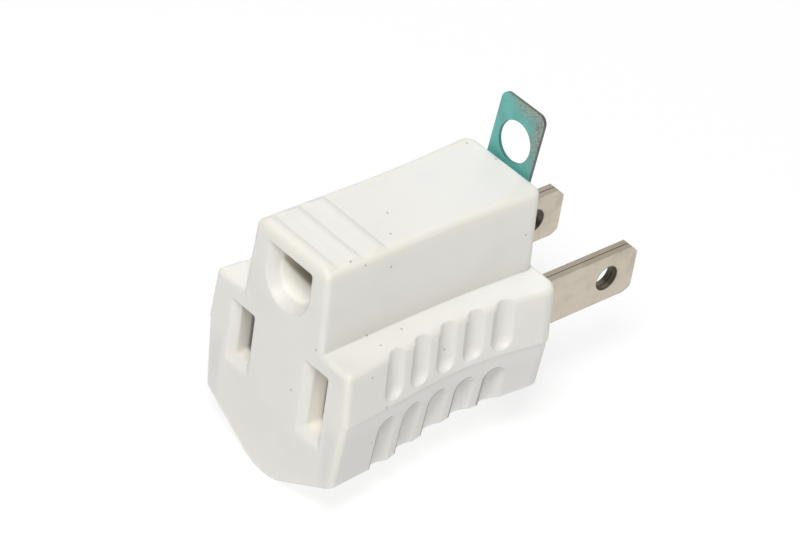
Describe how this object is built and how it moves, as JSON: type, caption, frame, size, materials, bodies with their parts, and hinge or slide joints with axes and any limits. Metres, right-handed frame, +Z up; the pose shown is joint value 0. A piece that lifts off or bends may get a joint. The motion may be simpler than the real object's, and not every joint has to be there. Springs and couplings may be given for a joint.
{
  "type": "grounding plug adapter",
  "caption": "Plug adapter with a waisted, fluted vinyl body, a grounded socket face in front, and flat plug blades and a green screw tab for the ground behind.",
  "frame": {"origin": "on the rear face that meets the cover plate, midway between the blades", "axes": "+X is the width, to the right seen from the front; +Y points into the outlet, along the blades; +Z is up, the side with the ground socket"},
  "size_m": [0.024, 0.0484, 0.0388],
  "materials": {
    "body": "satin moulded vinyl",
    "poles": "nickel plated, drawn",
    "ground_strip": "green lacquer, worn"
  },
  "bodies": {
    "root": {"body": "body", "hot_pole": "poles", "neutral_pole": "poles", "ground_strip": "ground_strip"}
  },
  "joints": []
}
